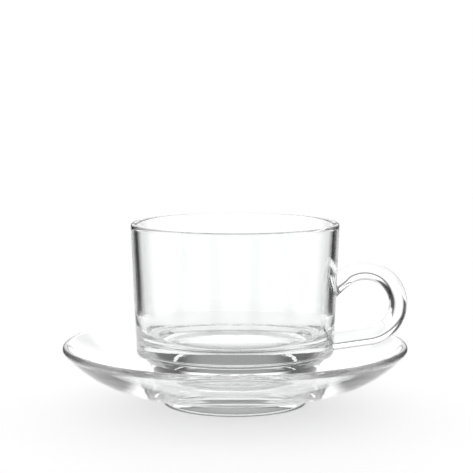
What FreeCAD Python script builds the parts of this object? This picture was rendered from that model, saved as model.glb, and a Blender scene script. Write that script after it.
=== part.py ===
"""Teacup and saucer in clear pressed glass.

Two pieces: a tapered cup with a heavy base, a coned foot and a round loop handle, all one
piece of glass, standing in a deep saucer with a rolled lip and a foot ring.
The origin is the middle of the saucer's foot ring on the table, +Z up, in millimetres.
The handle points along +X. The cup is drawn from its own foot and placed on the saucer.
"""
import FreeCAD
import Part
import Sketcher
import math
import os

DOCUMENT_NAME = "teacup_and_saucer"
SHEET_NAME = "sizes"

# Ends of a sketch line or arc, and the sketch's own axes and origin.
START = 1
END = 2
CENTRE = 3
LEVEL_AXIS = -1
UPRIGHT_AXIS = -2

# Two lengths closer than this are the same, in millimetres.
NEAR = 1e-3

# Driving dimensions: name, millimetres or degrees, meaning.
SIZES = [
    ("saucer_handle_margin", 0.1, "how far the saucer reaches out beyond the handle"),
    ("saucer_lip_radius", 1.43, "rolled lip, half its thickness"),
    ("saucer_lip_height", 22.8, "table to the middle of the lip"),
    ("saucer_floor_margin", 1.7, "flat middle, clear of the cup's foot before the side begins to rise"),
    ("saucer_floor_thickness", 3.85, "glass under the cup"),
    ("saucer_foot_height", 5.35, "table to the underside of the flat middle"),
    ("saucer_foot_inset", 3.8, "edge of the flat middle in to the outside of the foot ring, at its top"),
    ("saucer_foot_width", 3.6, "foot ring, across its top"),
    ("saucer_foot_draft", 0.3, "how much each side of the ring leans in towards the table"),
    ("saucer_foot_rounding", 0.55, "edges of the foot ring on the table"),
    ("saucer_foot_blend", 1.5, "corner between the foot ring and the dish"),
    ("cup_height", 64.1, "foot to rim"),
    ("cup_rim_radius", 42.3, "outside of the wall, carried up to the rim"),
    ("cup_bottom_radius", 40.15, "outside of the wall at its lower edge"),
    ("cup_rim_thickness", 2.6, "wall at the rim"),
    ("cup_wall_thickness", 3.0, "wall where it begins to thicken"),
    ("cup_thickening_height", 29.0, "foot to where the wall begins to thicken"),
    ("cup_thickening_radius", 75.0, "long curve that thickens the wall downwards"),
    ("cup_floor_height", 16.4, "foot to the inside floor"),
    ("cup_corner_radius", 6.0, "inside corner between wall and floor"),
    ("cup_band_height", 1.0, "plain band under the groove"),
    ("cup_groove_radius", 0.42, "half-round groove over the band"),
    ("cup_shelf_height", 11.55, "foot to the underside of the band"),
    ("cup_neck_step", 3.65, "band in to the upright neck under it"),
    ("cup_neck_height", 2.5, "upright neck, top to bottom"),
    ("cup_cone_run", 5.5, "neck in to the foot of the cone"),
    ("cup_foot_rounding", 0.7, "edge of the foot on the saucer"),
    ("cup_contact_width", 4.2, "flat ring that the cup stands on"),
    ("cup_hollow_depth", 1.2, "shallow hollow under the foot"),
    ("handle_stand", 1.856, "wall out to the near side of the loop's upper end"),
    ("handle_bar_radius", 3.68, "round bar of the handle"),
    ("handle_loop_radius", 13.5, "loop, to the middle of the bar"),
    ("handle_band_clearance", 1.27, "band under the groove up to the underside of the loop"),
    ("handle_top_slope", 33.0, "upper arm, down towards the cup"),
    ("handle_bottom_slope", 8.0, "lower arm, down towards the cup"),
    ("handle_flare", 0.155, "upper arm, growth of its radius along its length"),
    ("handle_flare_blend", 6.0, "where the flare runs out into the loop"),
    ("handle_top_depth", 7.0, "how far in from the wall the upper arm starts, before hollowing"),
    ("handle_bottom_depth", 2.2, "how far the lower arm goes into the wall"),
    ("handle_root_fillet", 0.9, "blend between the upper arm and the wall"),
]

# Sizes that follow from the ones above.
DERIVED = [
    ("saucer_floor_top", "=saucer_foot_height + saucer_floor_thickness"),
    ("cup_neck_radius", "=cup_bottom_radius - cup_neck_step"),
    ("cup_foot_radius", "=cup_neck_radius - cup_cone_run"),
    ("saucer_floor_radius", "=cup_foot_radius + saucer_floor_margin"),
    ("saucer_foot_radius", "=saucer_floor_radius - saucer_foot_inset"),
    ("saucer_foot_base", "=saucer_foot_radius - saucer_foot_draft"),
    ("saucer_foot_inner", "=saucer_foot_radius - saucer_foot_width"),
    ("saucer_foot_inner_base", "=saucer_foot_inner + saucer_foot_draft"),
    ("cup_rim_rounding", "=cup_rim_thickness * 0.46"),
    ("cup_contact_inner", "=cup_foot_radius - cup_contact_width"),
    ("cup_neck_bottom", "=cup_shelf_height - cup_neck_height"),
    ("cup_band_top", "=cup_shelf_height + cup_band_height"),
    ("cup_wall_bottom", "=cup_band_top + 2 * cup_groove_radius"),
    ("cup_taper", "=(cup_rim_radius - cup_bottom_radius) / (cup_height - cup_wall_bottom)"),
    ("cup_inner_rim", "=cup_rim_radius - cup_rim_thickness"),
    ("cup_inner_low", "=cup_bottom_radius - cup_wall_thickness"
                      " + cup_taper * (cup_thickening_height - cup_wall_bottom)"),
    ("handle_loop_height", "=cup_band_top + handle_band_clearance + handle_bar_radius + handle_loop_radius"),
    ("handle_top_z", "=handle_loop_height + handle_loop_radius * cos(handle_top_slope * 1deg)"),
    ("handle_top_wall", "=cup_bottom_radius + cup_taper"
                        " * (handle_top_z + handle_bar_radius * cos(handle_top_slope * 1deg) - cup_wall_bottom)"),
    ("handle_top_x", "=handle_top_wall + handle_stand + handle_bar_radius * sin(handle_top_slope * 1deg)"),
    ("handle_loop_middle", "=handle_top_x + handle_loop_radius * sin(handle_top_slope * 1deg)"),
    ("saucer_lip_middle", "=handle_loop_middle + handle_loop_radius + handle_bar_radius"
                          " + saucer_handle_margin - saucer_lip_radius"),
    ("handle_top_place", "=cup_bottom_radius - handle_top_depth"),
    ("handle_bottom_place", "=cup_bottom_radius - handle_bottom_depth"),
    ("handle_top_length", "=(handle_top_x - handle_top_place) / cos(handle_top_slope * 1deg)"),
    ("handle_top_root", "=handle_top_z - handle_top_length * sin(handle_top_slope * 1deg)"),
    ("handle_root_radius", "=handle_bar_radius + handle_flare * handle_top_length"),
]


def make_sheet(doc):
    """Write every size into a spreadsheet."""
    sheet = doc.addObject("Spreadsheet::Sheet", SHEET_NAME)
    rows = [(alias, str(value), meaning) for alias, value, meaning in SIZES]
    rows += [(alias, formula, "worked out") for alias, formula in DERIVED]
    for number, (alias, content, meaning) in enumerate(rows, start=1):
        sheet.set(f"A{number}", meaning)
        sheet.set(f"B{number}", content)
        sheet.setAlias(f"B{number}", alias)
    doc.recompute()
    return sheet


def origin_plane(body, role):
    """Find one of the body's own origin planes."""
    return next(item for item in body.Origin.OriginFeatures if item.Role == role)


def new_sketch(body, name, role):
    """Start a sketch on one of the body's origin planes."""
    sketch = body.newObject("Sketcher::SketchObject", name)
    sketch.AttachmentSupport = (origin_plane(body, role), "")
    sketch.MapMode = "FlatFace"
    return sketch


def segment(sketch, first, second):
    """Add a straight line between two (x, y) points and return its number."""
    return sketch.addGeometry(Part.LineSegment(FreeCAD.Vector(*first), FreeCAD.Vector(*second)))


def arc(sketch, middle, radius, first, last):
    """Add an arc drawn anticlockwise from one angle to another, in radians."""
    circle = Part.Circle(FreeCAD.Vector(*middle), FreeCAD.Vector(0, 0, 1), radius)
    return sketch.addGeometry(Part.ArcOfCircle(circle, first, last))


def polyline(sketch, points):
    """Add joined straight lines through (x, y) points and return their numbers."""
    numbers = [segment(sketch, a, b) for a, b in zip(points, points[1:])]
    for before, after in zip(numbers, numbers[1:]):
        join(sketch, before, END, after, START)
    return numbers


def join(sketch, first, first_end, second, second_end):
    """Make two ends meet."""
    sketch.addConstraint(Sketcher.Constraint("Coincident", first, first_end, second, second_end))


def smooth(sketch, first, first_end, second, second_end):
    """Make two ends meet and run on without a corner."""
    sketch.addConstraint(Sketcher.Constraint("Tangent", first, first_end, second, second_end))


def level(sketch, *numbers):
    """Keep lines level."""
    for number in numbers:
        sketch.addConstraint(Sketcher.Constraint("Horizontal", number))


def upright(sketch, *numbers):
    """Keep lines upright."""
    for number in numbers:
        sketch.addConstraint(Sketcher.Constraint("Vertical", number))


def on_axis(sketch, number, end, axis):
    """Keep an end on one of the sketch's axes."""
    sketch.addConstraint(Sketcher.Constraint("PointOnObject", number, end, axis))


def bind(sketch, constraint, formula):
    """Add a dimension that follows a formula of the sheet's sizes."""
    number = sketch.addConstraint(constraint)
    sketch.setExpression(f"Constraints[{number}]", formula)


def across(sketch, sheet, number, end, alias):
    """Fix how far an end lies from the axis of revolution."""
    value = getattr(sheet, alias)
    distance = Sketcher.Constraint("DistanceX", LEVEL_AXIS, START, number, end, value)
    bind(sketch, distance, f"{SHEET_NAME}.{alias}")


def above(sketch, sheet, number, end, alias):
    """Fix how high an end lies."""
    value = getattr(sheet, alias)
    distance = Sketcher.Constraint("DistanceY", LEVEL_AXIS, START, number, end, value)
    bind(sketch, distance, f"{SHEET_NAME}.{alias}")


def sized(sketch, sheet, number, alias):
    """Fix a radius."""
    bind(sketch, Sketcher.Constraint("Radius", number, getattr(sheet, alias)), f"{SHEET_NAME}.{alias}")


def turn(body, kind, name, sketch):
    """Revolve a sketch a full turn about the upright axis."""
    feature = body.newObject(kind, name)
    feature.Profile = (sketch, [""])
    feature.ReferenceAxis = (sketch, ["V_Axis"])
    feature.Angle = 360.0
    body.Document.recompute()
    return feature


def named_edges(shape):
    """Pair each edge with its name, without the points where a surface closes on its axis."""
    return [(f"Edge{number}", edge) for number, edge in enumerate(shape.Edges, start=1)
            if not edge.Degenerated]


def rings(shape, places):
    """Name the round edges about the upright axis at the given (radius, height) places."""
    names = []
    for name, edge in named_edges(shape):
        curve = edge.Curve
        if not isinstance(curve, Part.Circle):
            continue
        for radius, height in places:
            if abs(curve.Radius - radius) < NEAR and abs(curve.Center.z - height) < NEAR:
                names.append(name)
    return names


def round_edges(body, name, base, names, alias):
    """Round the named edges with a radius from the sheet."""
    fillet = body.newObject("PartDesign::Fillet", name)
    fillet.Base = (base, names)
    fillet.setExpression("Radius", f"{SHEET_NAME}.{alias}")
    body.Document.recompute()
    return fillet


def saucer_profile(body, sheet):
    """Half section of the saucer: flat middle, two long curves meeting in a round lip, foot ring."""
    sketch = new_sketch(body, "saucer_profile", "XZ_Plane")
    lip = sheet.saucer_lip_radius
    run = sheet.saucer_lip_middle - sheet.saucer_floor_radius
    upper_rise = sheet.saucer_lip_height - sheet.saucer_floor_top
    lower_rise = sheet.saucer_lip_height - sheet.saucer_foot_height
    upper_radius = (run**2 + upper_rise**2 - lip**2) / (2 * (upper_rise + lip))
    lower_radius = (run**2 + lower_rise**2 - lip**2) / (2 * (lower_rise - lip))
    upper_end = math.atan2(upper_rise - upper_radius, run)
    lower_end = math.atan2(lower_rise - lower_radius, run)
    quarter = math.pi / 2

    floor = segment(sketch, (0, sheet.saucer_floor_top), (sheet.saucer_floor_radius, sheet.saucer_floor_top))
    upper = arc(sketch, (sheet.saucer_floor_radius, sheet.saucer_floor_top + upper_radius),
                upper_radius, -quarter, upper_end)
    rim = arc(sketch, (sheet.saucer_lip_middle, sheet.saucer_lip_height), lip, lower_end, upper_end + math.pi)
    lower = arc(sketch, (sheet.saucer_floor_radius, sheet.saucer_foot_height + lower_radius),
                lower_radius, -quarter, lower_end)
    under, foot_outer, foot_base, foot_inner, ceiling, middle = polyline(sketch, [
        (sheet.saucer_floor_radius, sheet.saucer_foot_height),
        (sheet.saucer_foot_radius, sheet.saucer_foot_height),
        (sheet.saucer_foot_base, 0),
        (sheet.saucer_foot_inner_base, 0),
        (sheet.saucer_foot_inner, sheet.saucer_foot_height),
        (0, sheet.saucer_foot_height),
        (0, sheet.saucer_floor_top),
    ])

    smooth(sketch, floor, END, upper, START)
    smooth(sketch, upper, END, rim, END)
    smooth(sketch, rim, START, lower, END)
    smooth(sketch, lower, START, under, START)
    join(sketch, middle, END, floor, START)
    level(sketch, floor, under, ceiling)
    on_axis(sketch, floor, START, UPRIGHT_AXIS)
    on_axis(sketch, ceiling, END, UPRIGHT_AXIS)
    on_axis(sketch, foot_base, START, LEVEL_AXIS)
    on_axis(sketch, foot_base, END, LEVEL_AXIS)
    above(sketch, sheet, floor, START, "saucer_floor_top")
    across(sketch, sheet, floor, END, "saucer_floor_radius")
    across(sketch, sheet, rim, CENTRE, "saucer_lip_middle")
    above(sketch, sheet, rim, CENTRE, "saucer_lip_height")
    sized(sketch, sheet, rim, "saucer_lip_radius")
    across(sketch, sheet, under, START, "saucer_floor_radius")
    above(sketch, sheet, under, START, "saucer_foot_height")
    across(sketch, sheet, foot_outer, START, "saucer_foot_radius")
    across(sketch, sheet, foot_base, START, "saucer_foot_base")
    across(sketch, sheet, foot_base, END, "saucer_foot_inner_base")
    across(sketch, sheet, foot_inner, END, "saucer_foot_inner")
    above(sketch, sheet, ceiling, END, "saucer_foot_height")
    return sketch


def make_saucer(doc, sheet):
    """Turn the saucer and soften its foot ring."""
    body = doc.addObject("PartDesign::Body", "saucer")
    body.Label = "saucer"
    dish = turn(body, "PartDesign::Revolution", "dish", saucer_profile(body, sheet))
    corners = rings(dish.Shape, [(sheet.saucer_foot_radius, sheet.saucer_foot_height),
                                 (sheet.saucer_foot_inner, sheet.saucer_foot_height)])
    blended = round_edges(body, "foot_blend", dish, corners, "saucer_foot_blend")
    edges = rings(blended.Shape, [(sheet.saucer_foot_base, 0), (sheet.saucer_foot_inner_base, 0)])
    round_edges(body, "foot_rounding", blended, edges, "saucer_foot_rounding")
    return body


def cup_outer_profile(body, sheet):
    """Half section of the cup before it is hollowed."""
    sketch = new_sketch(body, "cup_outer_profile", "XZ_Plane")
    dome = (sheet.cup_contact_inner**2 + sheet.cup_hollow_depth**2) / (2 * sheet.cup_hollow_depth)
    dome_start = math.atan2(dome - sheet.cup_hollow_depth, sheet.cup_contact_inner)
    groove_height = sheet.cup_band_top + sheet.cup_groove_radius
    quarter = math.pi / 2

    hollow = arc(sketch, (0, sheet.cup_hollow_depth - dome), dome, dome_start, quarter)
    contact, cone, neck, shelf, band = polyline(sketch, [
        (sheet.cup_contact_inner, 0),
        (sheet.cup_foot_radius, 0),
        (sheet.cup_neck_radius, sheet.cup_neck_bottom),
        (sheet.cup_neck_radius, sheet.cup_shelf_height),
        (sheet.cup_bottom_radius, sheet.cup_shelf_height),
        (sheet.cup_bottom_radius, sheet.cup_band_top),
    ])
    groove = arc(sketch, (sheet.cup_bottom_radius, groove_height), sheet.cup_groove_radius,
                 quarter, 3 * quarter)
    wall, top, middle = polyline(sketch, [
        (sheet.cup_bottom_radius, sheet.cup_wall_bottom),
        (sheet.cup_rim_radius, sheet.cup_height),
        (0, sheet.cup_height),
        (0, sheet.cup_hollow_depth),
    ])

    join(sketch, hollow, START, contact, START)
    join(sketch, band, END, groove, END)
    join(sketch, groove, START, wall, START)
    join(sketch, middle, END, hollow, END)
    level(sketch, shelf, top)
    upright(sketch, neck, band)
    on_axis(sketch, contact, START, LEVEL_AXIS)
    on_axis(sketch, contact, END, LEVEL_AXIS)
    on_axis(sketch, hollow, CENTRE, UPRIGHT_AXIS)
    on_axis(sketch, hollow, END, UPRIGHT_AXIS)
    on_axis(sketch, middle, START, UPRIGHT_AXIS)
    across(sketch, sheet, contact, START, "cup_contact_inner")
    across(sketch, sheet, contact, END, "cup_foot_radius")
    above(sketch, sheet, hollow, END, "cup_hollow_depth")
    across(sketch, sheet, neck, START, "cup_neck_radius")
    above(sketch, sheet, neck, START, "cup_neck_bottom")
    above(sketch, sheet, shelf, START, "cup_shelf_height")
    across(sketch, sheet, band, START, "cup_bottom_radius")
    above(sketch, sheet, band, END, "cup_band_top")
    across(sketch, sheet, groove, CENTRE, "cup_bottom_radius")
    sized(sketch, sheet, groove, "cup_groove_radius")
    across(sketch, sheet, wall, START, "cup_bottom_radius")
    across(sketch, sheet, wall, END, "cup_rim_radius")
    above(sketch, sheet, wall, END, "cup_height")
    return sketch


def cup_cavity_profile(body, sheet):
    """Half section of the space inside: flat floor, round corner, thickening wall, straight wall."""
    sketch = new_sketch(body, "cup_cavity_profile", "XZ_Plane")
    low = FreeCAD.Vector(sheet.cup_inner_low, sheet.cup_thickening_height)
    high = FreeCAD.Vector(sheet.cup_inner_rim, sheet.cup_height)
    lean = math.atan2(high.x - low.x, high.y - low.y)
    corner = sheet.cup_corner_radius
    bend = sheet.cup_thickening_radius
    bend_middle = FreeCAD.Vector(low.x - bend * math.cos(lean), low.y + bend * math.sin(lean))
    corner_drop = bend_middle.y - (sheet.cup_floor_height + corner)
    corner_reach = math.sqrt((bend - corner)**2 - corner_drop**2)
    corner_middle = FreeCAD.Vector(bend_middle.x + corner_reach, sheet.cup_floor_height + corner)
    meeting = math.atan2(-corner_drop, corner_reach)

    floor = segment(sketch, (0, sheet.cup_floor_height), (corner_middle.x, sheet.cup_floor_height))
    corner_arc = arc(sketch, tuple(corner_middle), corner, -math.pi / 2, meeting)
    bend_arc = arc(sketch, tuple(bend_middle), bend, meeting, -lean)
    wall, mouth, middle = polyline(sketch, [
        (low.x, low.y),
        (high.x, high.y),
        (0, sheet.cup_height),
        (0, sheet.cup_floor_height),
    ])

    smooth(sketch, floor, END, corner_arc, START)
    smooth(sketch, corner_arc, END, bend_arc, START)
    smooth(sketch, bend_arc, END, wall, START)
    join(sketch, middle, END, floor, START)
    level(sketch, floor, mouth)
    on_axis(sketch, floor, START, UPRIGHT_AXIS)
    on_axis(sketch, mouth, END, UPRIGHT_AXIS)
    above(sketch, sheet, floor, START, "cup_floor_height")
    sized(sketch, sheet, corner_arc, "cup_corner_radius")
    sized(sketch, sheet, bend_arc, "cup_thickening_radius")
    across(sketch, sheet, wall, START, "cup_inner_low")
    above(sketch, sheet, wall, START, "cup_thickening_height")
    across(sketch, sheet, wall, END, "cup_inner_rim")
    above(sketch, sheet, wall, END, "cup_height")
    return sketch


def bar_section(body, sheet, name, place, height, radius):
    """Round section of the upper arm, square to the arm, at a place given by sheet names."""
    sketch = new_sketch(body, name, "YZ_Plane")
    tilt = FreeCAD.Rotation(FreeCAD.Vector(1, 0, 0), -sheet.handle_top_slope)
    offset = FreeCAD.Vector(0, getattr(sheet, height), getattr(sheet, place))
    sketch.AttachmentOffset = FreeCAD.Placement(offset, tilt)
    sketch.setExpression("AttachmentOffset.Base.y", f"{SHEET_NAME}.{height} * 1mm")
    sketch.setExpression("AttachmentOffset.Base.z", f"{SHEET_NAME}.{place} * 1mm")
    sketch.setExpression("AttachmentOffset.Rotation.Angle", f"-{SHEET_NAME}.handle_top_slope * 1deg")
    circle = Part.Circle(FreeCAD.Vector(0, 0), FreeCAD.Vector(0, 0, 1), getattr(sheet, radius))
    number = sketch.addGeometry(circle)
    join(sketch, number, CENTRE, LEVEL_AXIS, START)
    sized(sketch, sheet, number, radius)
    return sketch


def handle_path(body, sheet):
    """Middle line of the loop and the lower arm."""
    sketch = new_sketch(body, "handle_path", "XZ_Plane")
    slope = math.radians(sheet.handle_bottom_slope)
    radius = sheet.handle_loop_radius
    middle = (sheet.handle_loop_middle, sheet.handle_loop_height)
    first = slope - math.pi / 2
    last = math.radians(sheet.handle_top_slope) + math.pi / 2
    low_x = middle[0] + radius * math.cos(first)
    low_z = middle[1] + radius * math.sin(first)
    root_z = low_z - (low_x - sheet.handle_bottom_place) * math.tan(slope)

    loop = arc(sketch, middle, radius, first, last)
    arm = segment(sketch, (low_x, low_z), (sheet.handle_bottom_place, root_z))
    smooth(sketch, loop, START, arm, START)
    across(sketch, sheet, loop, CENTRE, "handle_loop_middle")
    above(sketch, sheet, loop, CENTRE, "handle_loop_height")
    sized(sketch, sheet, loop, "handle_loop_radius")
    across(sketch, sheet, loop, END, "handle_top_x")
    across(sketch, sheet, arm, END, "handle_bottom_place")
    incline = Sketcher.Constraint("Angle", arm, slope - math.pi)
    bind(sketch, incline, f"({SHEET_NAME}.handle_bottom_slope - 180) * 1deg")
    return sketch


def add_handle(body, sheet):
    """Add the flared upper arm and then the loop with its lower arm."""
    root = bar_section(body, sheet, "upper_root_section",
                       "handle_top_place", "handle_top_root", "handle_root_radius")
    start = bar_section(body, sheet, "loop_section",
                        "handle_top_x", "handle_top_z", "handle_bar_radius")
    arm = body.newObject("PartDesign::AdditiveLoft", "upper_arm")
    arm.Profile = (root, [""])
    arm.Sections = [(start, [""])]
    arm.Ruled = True
    body.Document.recompute()
    path = handle_path(body, sheet)
    section = bar_section(body, sheet, "loop_start_section",
                          "handle_top_x", "handle_top_z", "handle_bar_radius")
    loop = body.newObject("PartDesign::AdditivePipe", "loop")
    loop.Profile = (section, [""])
    loop.Spine = (path, ["Edge1", "Edge2"])
    body.Document.recompute()
    return loop


def upper_root_edges(shape, sheet):
    """Name the edges where the upper arm meets the outside of the wall."""
    names = []
    for name, edge in named_edges(shape):
        points = edge.discretize(9)
        on_wall = all(
            abs(math.hypot(point.x, point.y) - sheet.cup_bottom_radius
                - sheet.cup_taper * (point.z - sheet.cup_wall_bottom)) < NEAR
            for point in points)
        lowest = min(point.z for point in points)
        is_level = max(point.z for point in points) - lowest < NEAR
        is_straight = edge.Length - points[0].distanceToPoint(points[-1]) < NEAR
        if on_wall and lowest > sheet.handle_loop_height and not is_level and not is_straight:
            names.append(name)
    return names


def flare_edges(shape, sheet):
    """Name the round edge where the upper arm's flare meets the loop."""
    place = FreeCAD.Vector(sheet.handle_top_x, 0, sheet.handle_top_z)
    return [name for name, edge in named_edges(shape)
            if edge.isClosed() and edge.CenterOfMass.distanceToPoint(place) < NEAR]


def make_cup(doc, sheet):
    """Turn the cup, add its handle, hollow it and round its edges."""
    body = doc.addObject("PartDesign::Body", "cup")
    body.Label = "cup"
    body.setExpression("Placement.Base.z", f"{SHEET_NAME}.saucer_floor_top * 1mm")
    turn(body, "PartDesign::Revolution", "cup_blank", cup_outer_profile(body, sheet))
    loop = add_handle(body, sheet)
    flared = round_edges(body, "flare_blend", loop, flare_edges(loop.Shape, sheet), "handle_flare_blend")
    roots = upper_root_edges(flared.Shape, sheet)
    round_edges(body, "root_blend", flared, roots, "handle_root_fillet")
    hollowed = turn(body, "PartDesign::Groove", "cavity", cup_cavity_profile(body, sheet))
    rim = rings(hollowed.Shape, [(sheet.cup_rim_radius, sheet.cup_height),
                                 (sheet.cup_inner_rim, sheet.cup_height)])
    rounded = round_edges(body, "rim_rounding", hollowed, rim, "cup_rim_rounding")
    foot = rings(rounded.Shape, [(sheet.cup_foot_radius, 0)])
    round_edges(body, "foot_edge", rounded, foot, "cup_foot_rounding")
    return body


def check(doc, bodies):
    """Stop if any object failed or any piece isn't one sound solid."""
    for item in doc.Objects:
        if "Invalid" in item.State or "Error" in item.State:
            raise RuntimeError(f"{item.Name} failed: {item.State}")
    for body in bodies:
        if body.Shape.isNull() or not body.Shape.isValid() or len(body.Shape.Solids) != 1:
            raise RuntimeError(f"{body.Label} isn't one sound solid")


def main():
    """Build the document and write one file for each piece."""
    doc = FreeCAD.newDocument(DOCUMENT_NAME)
    sheet = make_sheet(doc)
    bodies = [make_saucer(doc, sheet), make_cup(doc, sheet)]
    doc.recompute()
    check(doc, bodies)
    os.makedirs("parts", exist_ok=True)
    for body in bodies:
        box = body.Shape.BoundBox
        print(body.Label, round(body.Shape.Volume / 1000, 2), "cm3", box)
        body.Shape.exportStep(f"parts/{body.Label}.step")


main()
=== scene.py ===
"""Looks of a teacup and saucer in clear pressed glass.

The cup is one piece: a tapered wall, a heavy base, a coned foot and a round loop handle.
The saucer is turned, with a rolled lip, a flat middle and a foot ring.
Fields of the pieces are in millimetres; the meshes are in metres.
"""
import logging
import math
from dataclasses import dataclass, field
from enum import Enum

import bpy
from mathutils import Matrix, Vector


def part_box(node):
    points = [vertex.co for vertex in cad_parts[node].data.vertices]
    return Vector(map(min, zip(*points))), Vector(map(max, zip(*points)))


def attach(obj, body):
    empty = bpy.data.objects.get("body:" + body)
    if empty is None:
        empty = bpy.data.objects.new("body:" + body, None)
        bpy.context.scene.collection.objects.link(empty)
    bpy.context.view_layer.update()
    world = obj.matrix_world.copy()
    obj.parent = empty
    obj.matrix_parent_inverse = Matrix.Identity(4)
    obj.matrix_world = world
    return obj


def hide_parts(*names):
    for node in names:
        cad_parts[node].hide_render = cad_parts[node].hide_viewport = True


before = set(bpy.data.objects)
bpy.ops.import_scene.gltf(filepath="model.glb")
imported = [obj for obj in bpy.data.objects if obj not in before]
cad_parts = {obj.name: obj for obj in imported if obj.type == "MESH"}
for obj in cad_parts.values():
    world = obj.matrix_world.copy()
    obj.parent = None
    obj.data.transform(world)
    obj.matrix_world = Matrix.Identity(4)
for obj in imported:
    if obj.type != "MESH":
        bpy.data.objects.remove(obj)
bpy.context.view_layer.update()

MM = 0.001
UP = (0, 0, 1)
ACROSS = (0, 1, 0)
QUARTER = math.pi / 2
SMOOTH_ANGLE = math.radians(30)
# Two points of an outline closer than this, in millimetres, are one.
SAME_POINT = 1e-4
# Two points of a mesh closer than this, in metres, are one.
SAME_VERTEX = 1e-7
# Height over its own foot up to which each piece is worn, in metres.
WORN_HEIGHT = 0.0006
# Scales of the streaks in x, y and z, which make them long and flat.
STREAK_SHAPE = (0.3, 0.3, 4.0)
BODY = "root"
LOG = logging.getLogger("teacup_and_saucer")

Point = tuple[float, float]
Span = tuple[float, float]
Colour = tuple[float, float, float]


class Slot(Enum):
    """Material slots of the record."""

    CUP = "cup_glass"
    SAUCER = "saucer_glass"


class Join(Enum):
    """Ways in which one solid works on another."""

    WELD = "UNION"
    CUT = "DIFFERENCE"


class Ray(Enum):
    """Kinds of ray that a light path tells apart."""

    CAMERA = "Is Camera Ray"
    GLOSSY = "Is Glossy Ray"
    TRANSMISSION = "Is Transmission Ray"


# ------------------------------------------------------------------ outlines and meshes


@dataclass
class Outline:
    """Half section of a turned piece, traced from point to point as (radius, height)."""

    points: list[Point] = field(default_factory=list)

    def to(self, x: float, z: float, steps: int = 1) -> "Outline":
        """Run straight to a point.

        Args:
            x: Radius of the point.
            z: Height of the point.
            steps: Number of equal pieces that the run is divided into.

        Returns:
            The outline itself.
        """
        if not self.points:
            self.points.append((x, z))
            return self
        x0, z0 = self.points[-1]
        for step in range(1, steps + 1):
            share = step / steps
            self.points.append((x0 + (x - x0) * share, z0 + (z - z0) * share))
        return self

    def arc(self, middle: Point, radius: float, first: float, last: float,
            steps: int) -> "Outline":
        """Run round an arc.

        Args:
            middle: Centre of the arc.
            radius: Radius of the arc.
            first: Angle of its first point, in radians.
            last: Angle of its last point, in radians.
            steps: Number of equal pieces.

        Returns:
            The outline itself.
        """
        for step in range(steps + 1):
            angle = first + (last - first) * step / steps
            point = (middle[0] + radius * math.cos(angle), middle[1] + radius * math.sin(angle))
            if not self.points or math.dist(point, self.points[-1]) > SAME_POINT:
                self.points.append(point)
        return self

    def round(self, tip: Point, after: Point, radius: float, steps: int = 5) -> "Outline":
        """Run straight towards a corner and round it off.

        Args:
            tip: The sharp corner.
            after: A point on the run that leaves the corner.
            radius: Radius of the rounding.
            steps: Number of pieces round it.

        Returns:
            The outline itself.
        """
        before = self.points[-1]
        into = math.dist(before, tip)
        out = math.dist(after, tip)
        ux, uz = (before[0] - tip[0]) / into, (before[1] - tip[1]) / into
        vx, vz = (after[0] - tip[0]) / out, (after[1] - tip[1]) / out
        half = math.acos(max(-1.0, min(1.0, ux * vx + uz * vz))) / 2
        along = math.hypot(ux + vx, uz + vz)
        reach = radius / math.sin(half)
        mx, mz = tip[0] + (ux + vx) / along * reach, tip[1] + (uz + vz) / along * reach
        back = radius / math.tan(half)
        first = math.atan2(tip[1] + uz * back - mz, tip[0] + ux * back - mx)
        last = math.atan2(tip[1] + vz * back - mz, tip[0] + vx * back - mx)
        sweep = (last - first + math.pi) % (2 * math.pi) - math.pi
        return self.arc((mx, mz), radius, first, first + sweep, steps)


def select_none() -> None:
    """Leave object mode with nothing selected."""
    if bpy.context.object and bpy.context.object.mode != "OBJECT":
        bpy.ops.object.mode_set(mode="OBJECT")
    bpy.ops.object.select_all(action="DESELECT")


def select_only(piece: bpy.types.Object) -> None:
    """Select one piece and make it active.

    Args:
        piece: The piece.
    """
    select_none()
    piece.select_set(True)
    bpy.context.view_layer.objects.active = piece


def turned(name: str, outline: Outline, sides: int) -> bpy.types.Object:
    """Trace a half section with one point, then spin it a full turn.

    Args:
        name: Name of the new piece.
        outline: Half section, in millimetres, from the axis round to the axis.
        sides: Number of steps round the piece.

    Returns:
        The closed piece, its place in its mesh.
    """
    select_none()
    points = [(x * MM, z * MM) for x, z in outline.points]
    bpy.ops.mesh.primitive_plane_add(size=MM, location=(0, 0, 0))
    piece = bpy.context.object
    piece.name = name
    bpy.ops.object.mode_set(mode="EDIT")
    bpy.ops.mesh.select_all(action="SELECT")
    bpy.ops.mesh.merge(type="CENTER")
    bpy.ops.transform.translate(value=(points[0][0], 0, points[0][1]))
    for (x0, z0), (x1, z1) in zip(points, points[1:]):
        bpy.ops.mesh.extrude_region_move(TRANSFORM_OT_translate={"value": (x1 - x0, 0, z1 - z0)})
    bpy.ops.mesh.select_all(action="SELECT")
    bpy.ops.mesh.spin(steps=sides, angle=2 * math.pi, center=(0, 0, 0), axis=UP)
    tidy()
    return piece


def tidy() -> None:
    """Merge doubles, turn the faces outwards and leave edit mode."""
    bpy.ops.mesh.select_all(action="SELECT")
    bpy.ops.mesh.remove_doubles(threshold=SAME_VERTEX)
    bpy.ops.mesh.normals_make_consistent(inside=False)
    bpy.ops.object.mode_set(mode="OBJECT")


def combine(piece: bpy.types.Object, tool: bpy.types.Object, way: Join) -> None:
    """Weld a tool to a piece or cut the piece with it, and remove the tool.

    Args:
        piece: The piece that is kept.
        tool: The piece that is used up.
        way: Whether the tool is welded on or cuts.
    """
    select_only(piece)
    step = piece.modifiers.new(way.name.lower(), "BOOLEAN")
    step.operation = way.value
    step.solver = "EXACT"
    step.object = tool
    bpy.ops.object.modifier_apply(modifier=step.name)
    bpy.data.objects.remove(tool)


def smooth(piece: bpy.types.Object) -> None:
    """Shade a piece smooth, apart from its sharp edges."""
    select_only(piece)
    bpy.ops.object.shade_smooth_by_angle(angle=SMOOTH_ANGLE)


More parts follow.
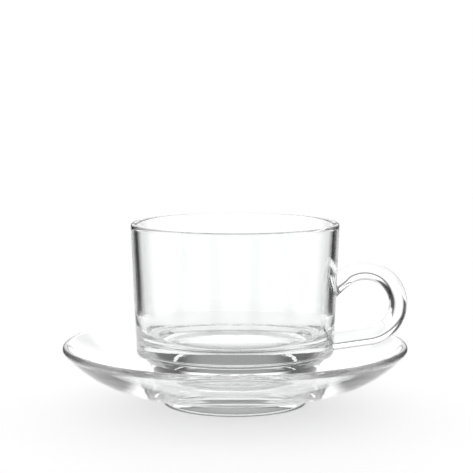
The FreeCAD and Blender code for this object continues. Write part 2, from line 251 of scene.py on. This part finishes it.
# --------------------------------------------------------------------------- finishes


def node(tree: bpy.types.NodeTree, kind: str, place: Point, **settings: object) -> bpy.types.Node:
    """Add a node, set its properties and place it.

    Args:
        tree: The tree that takes the node.
        kind: The node's type.
        place: Where it stands in the editor.
        settings: Properties of the node.

    Returns:
        The new node.
    """
    made = tree.nodes.new(kind)
    made.location = place
    for key, value in settings.items():
        setattr(made, key, value)
    return made


def maths(tree: bpy.types.NodeTree, kind: str, place: Point,
          *values: bpy.types.NodeSocket | float) -> bpy.types.NodeSocket:
    """Add a math node.

    Args:
        tree: The tree that takes the node.
        kind: The operation.
        place: Where the node stands in the editor.
        values: Its inputs, as sockets or numbers.

    Returns:
        The result.
    """
    made = node(tree, "ShaderNodeMath", place, operation=kind)
    for socket, value in zip(made.inputs, values):
        if isinstance(value, (int, float)):
            socket.default_value = value
        else:
            tree.links.new(value, socket)
    return made.outputs[0]


def soft_step(tree: bpy.types.NodeTree, place: Point, value: bpy.types.NodeSocket, edge: Span,
              low: float) -> bpy.types.NodeSocket:
    """Rise softly to one between the two ends of an edge.

    Args:
        tree: The tree that takes the node.
        place: Where the node stands in the editor.
        value: What is compared with the edge.
        edge: Where the rise begins and ends.
        low: The level before it.

    Returns:
        The level.
    """
    made = node(tree, "ShaderNodeMapRange", place, interpolation_type="SMOOTHSTEP")
    for key, number in zip(("From Min", "From Max", "To Min"), edge + (low,)):
        made.inputs[key].default_value = number
    tree.links.new(value, made.inputs["Value"])
    return made.outputs["Result"]


def colour_ramp(tree: bpy.types.NodeTree, place: Point, share: bpy.types.NodeSocket,
                marks: list[tuple[float, Colour]]) -> bpy.types.NodeSocket:
    """Look a colour up along a ramp.

    Args:
        tree: The tree that takes the node.
        place: Where the node stands in the editor.
        share: Where along the ramp, from 0 to 1.
        marks: The places along the ramp, rising, and their colours.

    Returns:
        The colour.
    """
    ramp = node(tree, "ShaderNodeValToRGB", place)
    elements = ramp.color_ramp.elements
    while len(elements) < len(marks):
        elements.new(1.0)
    for element, (position, colour) in zip(elements, marks):
        element.position = position
        element.color = colour + (1.0,)
    tree.links.new(share, ramp.inputs["Fac"])
    return ramp.outputs["Color"]


def light_path_sum(tree: bpy.types.NodeTree, place: Point,
                   rays: tuple[Ray, ...]) -> bpy.types.NodeSocket:
    """Give 1 for the named kinds of ray and 0 for the rest.

    Args:
        tree: The tree that takes the nodes.
        place: Where they stand in the editor.
        rays: The kinds of ray.

    Returns:
        The socket with the result.
    """
    path = node(tree, "ShaderNodeLightPath", place)
    total = path.outputs[rays[0].value]
    for ray in rays[1:]:
        total = maths(tree, "MAXIMUM", (place[0] + 150, place[1]), total, path.outputs[ray.value])
    return total


def glass_surface_group() -> bpy.types.NodeTree:
    """Build the slight unevenness and wear of pressed, fire-polished glass.

    Returns:
        A group with the height for a bump and a roughness.
    """
    tree = bpy.data.node_groups.new("pressed_glass_surface", "ShaderNodeTree")
    face = tree.interface
    face.new_socket("Position", in_out="INPUT", socket_type="NodeSocketVector")
    for name, value in (("Swell Scale", 60.0), ("Swell Height", 1.0), ("Streak Scale", 400.0),
                        ("Streak Height", 0.2), ("Polish", 0.0), ("Foot Height", 0.001),
                        ("Foot Wear", 0.2)):
        face.new_socket(name, in_out="INPUT", socket_type="NodeSocketFloat").default_value = value
    face.new_socket("Height", in_out="OUTPUT", socket_type="NodeSocketFloat")
    face.new_socket("Roughness", in_out="OUTPUT", socket_type="NodeSocketFloat")
    start = node(tree, "NodeGroupInput", (-900, 0))
    end = node(tree, "NodeGroupOutput", (700, 0))
    link = tree.links.new

    swell = node(tree, "ShaderNodeTexNoise", (-600, 200))
    swell.inputs["Detail"].default_value = 1.0
    link(start.outputs["Position"], swell.inputs["Vector"])
    link(start.outputs["Swell Scale"], swell.inputs["Scale"])
    swell_height = maths(tree, "MULTIPLY", (-300, 200), swell.outputs["Fac"],
                         start.outputs["Swell Height"])

    squeeze = node(tree, "ShaderNodeMapping", (-750, -100))
    squeeze.inputs["Scale"].default_value = STREAK_SHAPE
    link(start.outputs["Position"], squeeze.inputs["Vector"])
    streak = node(tree, "ShaderNodeTexNoise", (-550, -100))
    streak.inputs["Detail"].default_value = 2.0
    link(squeeze.outputs["Vector"], streak.inputs["Vector"])
    link(start.outputs["Streak Scale"], streak.inputs["Scale"])
    streak_height = maths(tree, "MULTIPLY", (-300, -100), streak.outputs["Fac"],
                          start.outputs["Streak Height"])
    total = maths(tree, "ADD", (0, 100), swell_height, streak_height)
    link(total, end.inputs["Height"])

    split = node(tree, "ShaderNodeSeparateXYZ", (-600, -400))
    link(start.outputs["Position"], split.inputs[0])
    low = maths(tree, "LESS_THAN", (-300, -400), split.outputs["Z"], start.outputs["Foot Height"])
    worn = maths(tree, "MULTIPLY", (-100, -400), low, start.outputs["Foot Wear"])
    rough = maths(tree, "ADD", (200, -300), worn, start.outputs["Polish"])
    rough.node.use_clamp = True
    link(rough, end.inputs["Roughness"])
    return tree


@dataclass(frozen=True)
class ClearGlass:
    """Clear, colourless pressed glass.

    Scales count the swells and streaks in a metre, and ripple is the depth, in metres, of one
    whose height is 1.
    """

    name: str
    swell_scale: float
    swell_height: float
    streak_scale: float
    streak_height: float
    foot_height: float
    foot_wear: float = 0.12
    polish: float = 0.0
    ripple: float = 0.00001
    ior: float = 1.5
    tint: tuple[float, float, float, float] = (0.985, 0.99, 0.99, 1.0)

    def material(self, surface: bpy.types.NodeTree) -> bpy.types.Material:
        """Build the material.

        Args:
            surface: The group for unevenness and wear.

        Returns:
            The finished material.
        """
        made = bpy.data.materials.new(self.name)
        made.use_nodes = True
        tree = made.node_tree
        shader = tree.nodes["Principled BSDF"]
        shader.inputs["Base Color"].default_value = self.tint
        shader.inputs["Metallic"].default_value = 0.0
        shader.inputs["IOR"].default_value = self.ior
        shader.inputs["Transmission Weight"].default_value = 1.0
        place = node(tree, "ShaderNodeTexCoord", (-900, 0))
        face = node(tree, "ShaderNodeGroup", (-650, 0))
        face.node_tree = surface
        bump = node(tree, "ShaderNodeBump", (-350, -200))
        bump.inputs["Distance"].default_value = self.ripple
        for name, value in (("Swell Scale", self.swell_scale), ("Swell Height", self.swell_height),
                            ("Streak Scale", self.streak_scale),
                            ("Streak Height", self.streak_height),
                            ("Polish", self.polish), ("Foot Height", self.foot_height),
                            ("Foot Wear", self.foot_wear)):
            face.inputs[name].default_value = value
        tree.links.new(place.outputs["Object"], face.inputs["Position"])
        tree.links.new(face.outputs["Height"], bump.inputs["Height"])
        tree.links.new(bump.outputs["Normal"], shader.inputs["Normal"])
        tree.links.new(face.outputs["Roughness"], shader.inputs["Roughness"])
        return made


# ----------------------------------------------------------------------------- pieces


@dataclass
class Saucer:
    """Turned saucer with a rolled lip, a flat middle and a foot ring."""

    radius: float
    lip_top: float
    finish: ClearGlass
    lip_radius: float = 1.43
    floor_radius: float = 32.7
    floor_top: float = 9.2
    foot_height: float = 5.35
    foot_radius: float = 28.9
    foot_width: float = 3.6
    foot_draft: float = 0.3
    foot_rounding: float = 0.55
    foot_blend: float = 1.5
    floor_steps: int = 12
    flange_steps: int = 28
    lip_steps: int = 18
    recess_steps: int = 8
    sides: int = 256

    def outline(self) -> Outline:
        """Trace the half section.

        Returns:
            The section from the middle of the upper face round to the middle underneath.
        """
        lip = self.lip_radius
        lip_middle = (self.radius - lip, self.lip_top - lip)
        run = lip_middle[0] - self.floor_radius
        upper_rise = lip_middle[1] - self.floor_top
        lower_rise = lip_middle[1] - self.foot_height
        upper = (run**2 + upper_rise**2 - lip**2) / (2 * (upper_rise + lip))
        lower = (run**2 + lower_rise**2 - lip**2) / (2 * (lower_rise - lip))
        upper_end = math.atan2(upper_rise - upper, run)
        lower_end = math.atan2(lower_rise - lower, run)
        inner = self.foot_radius - self.foot_width
        base, inner_base = self.foot_radius - self.foot_draft, inner + self.foot_draft
        line = Outline().to(0, self.floor_top)
        line.to(self.floor_radius, self.floor_top, self.floor_steps)
        line.arc((self.floor_radius, self.floor_top + upper), upper, -QUARTER, upper_end,
                 self.flange_steps)
        line.arc(lip_middle, lip, upper_end + math.pi, lower_end, self.lip_steps)
        line.arc((self.floor_radius, self.foot_height + lower), lower, lower_end, -QUARTER,
                 self.flange_steps)
        line.round((self.foot_radius, self.foot_height), (base, 0), self.foot_blend)
        line.round((base, 0), (inner_base, 0), self.foot_rounding)
        line.round((inner_base, 0), (inner, self.foot_height), self.foot_rounding)
        line.round((inner, self.foot_height), (0, self.foot_height), self.foot_blend)
        return line.to(0, self.foot_height, self.recess_steps)

    def build(self, surface: bpy.types.NodeTree) -> bpy.types.Object:
        """Make and dress the saucer.

        Args:
            surface: The group for unevenness and wear.

        Returns:
            The finished saucer.
        """
        dish = turned("saucer_glass_dish", self.outline(), self.sides)
        smooth(dish)
        dish.data.materials.append(self.finish.material(surface))
        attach(dish, BODY)
        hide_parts("saucer")
        return dish


@dataclass
class Handle:
    """Round loop handle with a flared upper arm, drawn out of the wall.

    Slopes are in degrees, down towards the cup. The arms start and end inside the wall.
    """

    reach: float
    foot: float
    bar: float = 3.68
    loop: float = 13.5
    loop_height: float = 31.0
    top_slope: float = 33.0
    bottom_slope: float = 8.0
    flare: float = 0.155
    flare_ease: float = 1.5
    top_start: float = 33.15
    bottom_end: float = 37.0
    sides: int = 72
    arm_steps: int = 14
    loop_steps: int = 80

    def girth(self, away: float) -> float:
        """Give the radius of the upper arm at a distance from the loop."""
        grown = away + math.hypot(away, self.flare_ease) - self.flare_ease
        return self.bar + self.flare * grown / 2

    def build(self) -> bpy.types.Object:
        """Draw a ring of points out along the upper arm, round the loop and back in.

        Returns:
            The closed bar, to be joined to the cup.
        """
        middle_x = self.reach - self.bar - self.loop
        middle_z = self.foot + self.loop_height
        top, bottom = math.radians(self.top_slope), math.radians(self.bottom_slope)
        top_x = middle_x - self.loop * math.sin(top)
        top_z = middle_z + self.loop * math.cos(top)
        length = (top_x - self.top_start) / math.cos(top)
        start = (self.top_start, top_z - length * math.sin(top))
        select_none()
        bpy.ops.mesh.primitive_circle_add(vertices=self.sides, radius=self.girth(length) * MM,
                                          fill_type="NOTHING",
                                          location=(start[0] * MM, 0, start[1] * MM),
                                          rotation=(0, QUARTER - top, 0))
        bar = bpy.context.object
        bar.name = "handle_bar"
        bpy.ops.object.transform_apply(location=True, rotation=True, scale=True)
        bpy.ops.object.mode_set(mode="EDIT")
        bpy.ops.mesh.select_all(action="SELECT")
        before = length
        for step in range(1, self.arm_steps + 1):
            left = length * (1 - step / self.arm_steps)
            move = (before - left) * MM
            bpy.ops.mesh.extrude_region_move(TRANSFORM_OT_translate={
                "value": (move * math.cos(top), 0, move * math.sin(top))})
            centre = (top_x - left * math.cos(top)) * MM, 0, (top_z - left * math.sin(top)) * MM
            bpy.ops.transform.resize(value=(self.girth(left) / self.girth(before),) * 3,
                                     center_override=centre)
            before = left
        bpy.ops.mesh.spin(steps=self.loop_steps, angle=bottom - top - math.pi,
                          center=(middle_x * MM, 0, middle_z * MM), axis=ACROSS)
        low_x = middle_x + self.loop * math.sin(bottom)
        run = (low_x - self.bottom_end) / math.cos(bottom) / self.arm_steps * MM
        for _ in range(self.arm_steps):
            bpy.ops.mesh.extrude_region_move(TRANSFORM_OT_translate={
                "value": (-run * math.cos(bottom), 0, -run * math.sin(bottom))})
        bpy.ops.mesh.select_all(action="SELECT")
        bpy.ops.mesh.fill_holes(sides=0)
        tidy()
        return bar


@dataclass
class Cup:
    """Tapered cup with a heavy base and a coned foot, one piece with its handle."""

    foot: float
    height: float
    finish: ClearGlass
    handle: Handle
    rim_radius: float = 42.3
    bottom_radius: float = 40.15
    rim_thickness: float = 2.6
    wall_thickness: float = 3.0
    thickening_height: float = 29.0
    thickening_radius: float = 75.0
    floor_height: float = 16.4
    corner_radius: float = 6.0
    band_height: float = 1.0
    groove_radius: float = 0.42
    shelf_height: float = 11.55
    neck_radius: float = 36.5
    neck_height: float = 2.5
    foot_radius: float = 31.0
    foot_rounding: float = 0.7
    contact_width: float = 4.2
    hollow_depth: float = 1.2
    neck_rounding: float = 0.4
    shelf_rounding: float = 0.3
    band_rounding: float = 0.12
    rim_rounding_share: float = 0.46
    rim_run: float = 2.0
    root_end: float = 6.0
    lift: float = 0.03
    hollow_steps: int = 16
    edge_steps: int = 3
    band_steps: int = 2
    groove_steps: int = 8
    wall_steps: int = 40
    rim_steps: int = 8
    inner_wall_steps: int = 26
    thickening_steps: int = 14
    corner_steps: int = 16
    floor_steps: int = 12
    sides: int = 256

    def wall_bottom(self) -> float:
        """Give the height of the wall's lower edge over the foot."""
        return self.shelf_height + self.band_height + 2 * self.groove_radius

    def taper(self) -> float:
        """Give how much the wall leans out over its height."""
        return (self.rim_radius - self.bottom_radius) / (self.height - self.wall_bottom())

    def outline(self) -> Outline:
        """Trace the half section: up the outside from under the foot, and down the inside.

        Returns:
            The section, in the cup's own heights.
        """
        contact_inner = self.foot_radius - self.contact_width
        dome = (contact_inner**2 + self.hollow_depth**2) / (2 * self.hollow_depth)
        dome_end = math.atan2(dome - self.hollow_depth, contact_inner)
        band_top = self.shelf_height + self.band_height
        neck_bottom = self.shelf_height - self.neck_height
        neck, shelf = (self.neck_radius, self.shelf_height), (self.bottom_radius, self.shelf_height)
        band = (self.bottom_radius, band_top)
        line = Outline().arc((0, self.hollow_depth - dome), dome, QUARTER, dome_end,
                             self.hollow_steps)
        line.round((self.foot_radius, 0), (self.neck_radius, neck_bottom), self.foot_rounding)
        line.round((self.neck_radius, neck_bottom), neck, self.neck_rounding, self.edge_steps)
        line.round(neck, shelf, self.shelf_rounding, self.edge_steps)
        line.round(shelf, band, self.band_rounding, self.band_steps)
        line.to(*band)
        line.arc((self.bottom_radius, band_top + self.groove_radius), self.groove_radius, -QUARTER,
                 -3 * QUARTER, self.groove_steps)
        rim_rounding = self.rim_rounding_share * self.rim_thickness
        inner_rim = self.rim_radius - self.rim_thickness
        line.to(self.rim_radius - self.taper() * self.rim_run, self.height - self.rim_run,
                self.wall_steps)
        line.round((self.rim_radius, self.height), (inner_rim, self.height), rim_rounding,
                   self.rim_steps)
        low = (self.bottom_radius - self.wall_thickness
               + self.taper() * (self.thickening_height - self.wall_bottom()),
               self.thickening_height)
        line.round((inner_rim, self.height), low, rim_rounding, self.rim_steps)
        lean = math.atan2(inner_rim - low[0], self.height - low[1])
        line.to(*low, self.inner_wall_steps)
        bend, corner = self.thickening_radius, self.corner_radius
        bend_middle = (low[0] - bend * math.cos(lean), low[1] + bend * math.sin(lean))
        drop = bend_middle[1] - (self.floor_height + corner)
        reach = math.sqrt((bend - corner)**2 - drop**2)
        meeting = math.atan2(-drop, reach)
        line.arc(bend_middle, bend, -lean, meeting, self.thickening_steps)
        corner_middle = (bend_middle[0] + reach, self.floor_height + corner)
        line.arc(corner_middle, corner, meeting, -QUARTER, self.corner_steps)
        return line.to(0, self.floor_height, self.floor_steps)

    def build(self, surface: bpy.types.NodeTree) -> bpy.types.Object:
        """Make, join and dress the cup.

        Args:
            surface: The group for unevenness and wear.

        Returns:
            The finished cup.
        """
        base = self.foot + self.lift
        section = Outline([(x, z + base) for x, z in self.outline().points])
        body = turned("cup_glass_body", section, self.sides)
        bar = self.handle.build()
        middle = self.bottom_radius - self.wall_thickness / 2
        low, high = base + self.wall_bottom() - self.root_end, base + self.height - self.root_end
        core = Outline().to(0, low).to(middle - self.root_end * self.taper(), low)
        core.to(middle + (high - base - self.wall_bottom()) * self.taper(), high).to(0, high)
        combine(bar, turned("core", core, self.sides), Join.CUT)
        combine(body, bar, Join.WELD)
        smooth(body)
        body.data.materials.append(self.finish.material(surface))
        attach(body, BODY)
        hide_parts("cup")
        return body


# ------------------------------------------------------------------------------ stage


@dataclass(frozen=True)
class Table:
    """Small plain white table top, with a shadow painted into its glow inside the foot ring.

    Sizes are in metres. The painted shadow is given as distances from the middle, each with the
    share of the glow that is left there. Glass gets a little more glow than the camera, because
    each of its faces takes some away.
    """

    radius: float = 0.17
    drop: float = 0.00005
    colour: float = 0.9
    glow: float = 0.715
    glow_through: float = 0.82
    # Painted shadow: the glow is darkened near the middle, inside the foot ring, out to this
    # distance.
    painted_shadow_reach: float = 0.1
    painted_shadow: tuple[Point, ...] = ((0.0, 0.4), (0.012, 0.35), (0.02, 0.26), (0.023, 0.03),
                                (0.0285, 0.0), (0.0295, 0.85), (0.045, 0.92), (0.075, 1.0))
    sides: int = 128

    def build(self) -> bpy.types.Object:
        """Make the table top.

        Returns:
            The disc.
        """
        select_none()
        bpy.ops.mesh.primitive_circle_add(vertices=self.sides, radius=self.radius, fill_type="NGON",
                                          location=(0, 0, -self.drop))
        top = bpy.context.object
        top.name = "table_top"
        made = bpy.data.materials.new("white_table")
        made.use_nodes = True
        tree = made.node_tree
        tree.nodes.clear()
        matt = node(tree, "ShaderNodeBsdfDiffuse", (0, 100))
        matt.inputs["Color"].default_value = (self.colour, self.colour, self.colour, 1)
        glow = node(tree, "ShaderNodeEmission", (0, -100))
        seen = light_path_sum(tree, (-600, 100), (Ray.CAMERA,))
        through = light_path_sum(tree, (-600, -100), (Ray.GLOSSY, Ray.TRANSMISSION))
        dimmed = maths(tree, "MULTIPLY", (-300, -100), through, self.glow_through)
        level = maths(tree, "MULTIPLY_ADD", (-150, -100), seen, self.glow, dimmed)
        tree.links.new(level, glow.inputs["Strength"])
        # The glow's colour carries the painted shadow inside the foot ring.
        tree.links.new(self.painted_shadow_ramp(tree), glow.inputs["Color"])
        both = node(tree, "ShaderNodeAddShader", (250, 0))
        end = node(tree, "ShaderNodeOutputMaterial", (450, 0))
        tree.links.new(matt.outputs[0], both.inputs[0])
        tree.links.new(glow.outputs[0], both.inputs[1])
        tree.links.new(both.outputs[0], end.inputs["Surface"])
        top.data.materials.append(made)
        return top

    def painted_shadow_ramp(self, tree: bpy.types.NodeTree) -> bpy.types.NodeSocket:
        """Darken the table's glow inside the foot ring, a painted shadow where little light gets
        in.

        Args:
            tree: The table's nodes.

        Returns:
            The share of the glow left by the painted shadow at each distance from the middle.
        """
        place = node(tree, "ShaderNodeTexCoord", (-1000, -400))
        away = node(tree, "ShaderNodeVectorMath", (-800, -400), operation="LENGTH")
        tree.links.new(place.outputs["Object"], away.inputs[0])
        share = maths(tree, "DIVIDE", (-600, -400), away.outputs["Value"], self.painted_shadow_reach)
        marks = [(distance / self.painted_shadow_reach, (level,) * 3) for distance, level in self.painted_shadow]
        return colour_ramp(tree, (-400, -400), share, marks)


@dataclass(frozen=True)
class Level:
    """Light at one height of a direction, from -1 straight down to 1 straight up."""

    height: float
    ahead: float
    beside: float
    sky: float


@dataclass(frozen=True)
class Studio:
    """A white panel behind the object, weaker ones round it and a soft sky over the panel.

    An edge is a pair of values between which the light rises from dark to full. low_start is
    a pair of heights, as in Level, and the others are cosines of the turn away from straight
    ahead, times the number of panels where there are several. What is called low shines up
    from under the table's edge.
    """

    levels: tuple[Level, ...] = (
        Level(-0.1, 1.08, 1.05, 0.0),
        Level(-0.03, 1.08, 0.9, 0.0),
        Level(0.005, 0.33, 0.1, 0.0),
        Level(0.095, 0.33, 0.05, 0.0),
        Level(0.115, 1.7, 0.1, 0.0),
        Level(0.45, 1.6, 0.1, 0.05),
        Level(0.5, 0.0, 0.0, 0.8),
        Level(0.74, 0.0, 0.0, 0.8),
        Level(0.79, 0.0, 0.0, 0.3),
    )
    brightest: float = 1.7
    dark: float = 0.03
    ahead_edge: Span = (0.9, 0.985)
    beside_start: Span = (0.77, 0.6)
    beside_panels: int = 4
    beside_edge: Span = (0.05, 0.7)
    beside_dark: float = 0.7
    low_panels: int = 8
    low_edge: Span = (-0.9, -0.2)
    low_dark: float = 0.25
    low_level: float = 1.1
    low_start: Span = (-0.19, -0.26)
    sky_edge: Span = (-0.2, 0.2)
    sky_behind: float = 0.3

    def profile(self, tree: bpy.types.NodeTree, height: bpy.types.NodeSocket) -> bpy.types.Node:
        """Look the levels up by height.

        Args:
            tree: The world's nodes.
            height: The upright part of the direction.

        Returns:
            A node with the levels ahead, beside and in the sky as red, green and blue.
        """
        share = maths(tree, "MULTIPLY_ADD", (-900, -300), height, 0.5, 0.5)
        marks = [((level.height + 1) / 2,
                  tuple(part / self.brightest for part in (level.ahead, level.beside, level.sky)))
                 for level in self.levels]
        parts = node(tree, "ShaderNodeSeparateColor", (-400, -300))
        tree.links.new(colour_ramp(tree, (-700, -300), share, marks), parts.inputs["Color"])
        return parts

    def build(self) -> bpy.types.World:
        """Make the world.

        Returns:
            The world, set in the scene.
        """
        world = bpy.data.worlds.new("light_tent")
        bpy.context.scene.world = world
        world.use_nodes = True
        tree = world.node_tree
        tree.nodes.clear()
        direction = node(tree, "ShaderNodeTexCoord", (-1600, 0))
        split = node(tree, "ShaderNodeSeparateXYZ", (-1400, 0))
        tree.links.new(direction.outputs["Generated"], split.inputs[0])
        height = split.outputs["Z"]
        turn = maths(tree, "ARCTAN2", (-1200, 200), split.outputs["X"], split.outputs["Y"])
        facing = maths(tree, "COSINE", (-1000, 500), turn)
        parts = self.profile(tree, height)

        ahead = soft_step(tree, (-700, 600), facing, self.ahead_edge, self.dark)
        around = maths(tree, "MULTIPLY", (-1000, 300), turn, self.beside_panels)
        around = maths(tree, "COSINE", (-850, 300), around)
        beside = soft_step(tree, (-700, 300), around, self.beside_edge, self.beside_dark)
        clear = soft_step(tree, (-700, 450), facing, self.beside_start, 0.0)
        beside = maths(tree, "MULTIPLY", (-500, 350), beside, clear)
        sky = soft_step(tree, (-700, 750), facing, self.sky_edge, self.sky_behind)
        level = maths(tree, "MULTIPLY", (-200, 500), ahead, parts.outputs["Red"])
        level = maths(tree, "MULTIPLY_ADD", (-50, 350), beside, parts.outputs["Green"], level)
        level = maths(tree, "MULTIPLY_ADD", (100, 200), sky, parts.outputs["Blue"], level)
        level = maths(tree, "MULTIPLY", (250, 100), level, self.brightest)

        below = maths(tree, "MULTIPLY", (-1000, 50), turn, self.low_panels)
        below = maths(tree, "COSINE", (-850, 50), below)
        below = soft_step(tree, (-700, 50), below, self.low_edge, self.low_dark)
        below = maths(tree, "MULTIPLY", (-500, 50), below, self.low_level)
        low = soft_step(tree, (-700, -100), height, self.low_start, 0.0)
        seen = light_path_sum(tree, (-100, -200), (Ray.CAMERA,))
        for place, share, other in (((400, 0), low, below), ((600, 0), seen, 1.0)):
            mix = node(tree, "ShaderNodeMix", place, data_type="FLOAT")
            tree.links.new(share, mix.inputs[0])
            tree.links.new(level, mix.inputs[2])
            if isinstance(other, float):
                mix.inputs[3].default_value = other
            else:
                tree.links.new(other, mix.inputs[3])
            level = mix.outputs[0]
        back = node(tree, "ShaderNodeBackground", (800, 0))
        back.inputs["Color"].default_value = (1, 1, 1, 1)
        tree.links.new(level, back.inputs["Strength"])
        end = node(tree, "ShaderNodeOutputWorld", (1000, 0))
        tree.links.new(back.outputs[0], end.inputs["Surface"])
        return world


@dataclass(frozen=True)
class Camera:
    """Long lens a little above the rim."""

    place: tuple[float, float, float] = (0.00057, -0.629, 0.1368)
    pitch: float = 0.1095
    lens: float = 119.07
    sensor: float = 36.0
    clip: Span = (0.01, 20.0)

    def build(self) -> bpy.types.Object:
        """Make the camera and use it.

        Returns:
            The camera.
        """
        data = bpy.data.cameras.new("camera")
        data.lens = self.lens
        data.sensor_width = self.sensor
        data.clip_start, data.clip_end = self.clip
        camera = bpy.data.objects.new("camera", data)
        bpy.context.scene.collection.objects.link(camera)
        camera.location = self.place
        camera.rotation_euler = (QUARTER - self.pitch, 0, 0)
        bpy.context.scene.camera = camera
        return camera


@dataclass(frozen=True)
class LightPaths:
    """How often light is followed from face to face, as it runs far inside the thin saucer."""

    bounces: int = 64

    def use(self) -> None:
        """Set the limits in the scene."""
        cycles = bpy.context.scene.cycles
        cycles.max_bounces = self.bounces
        cycles.glossy_bounces = self.bounces
        cycles.transmission_bounces = self.bounces


def main() -> None:
    """Build the teacup, the saucer and the stage."""
    logging.basicConfig(level=logging.INFO, format="%(name)s: %(message)s")
    _, (saucer_reach, _, lip_top) = ([v / MM for v in corner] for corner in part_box("saucer"))
    (_, _, cup_foot), (handle_reach, _, cup_top) = ([v / MM for v in corner]
                                                    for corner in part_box("cup"))
    surface = glass_surface_group()
    saucer = Saucer(radius=saucer_reach, lip_top=lip_top,
                    finish=ClearGlass(name="saucer_clear_glass", swell_scale=45.0, swell_height=1.0,
                                      streak_scale=300.0, streak_height=0.45,
                                      foot_height=WORN_HEIGHT))
    cup = Cup(foot=cup_foot, height=cup_top - cup_foot,
              handle=Handle(reach=handle_reach, foot=cup_foot),
              finish=ClearGlass(name="cup_clear_glass", swell_scale=55.0, swell_height=1.0,
                                streak_scale=330.0, streak_height=0.45,
                                foot_height=cup_foot * MM + WORN_HEIGHT))
    for maker in (saucer, cup):
        piece = maker.build(surface)
        LOG.info("%s: %d faces", piece.name, len(piece.data.polygons))
    Table().build()
    Studio().build()
    Camera().build()
    LightPaths().use()
    scene = bpy.context.scene
    scene.view_settings.view_transform = "Standard"


if __name__ == "__main__":
    main()
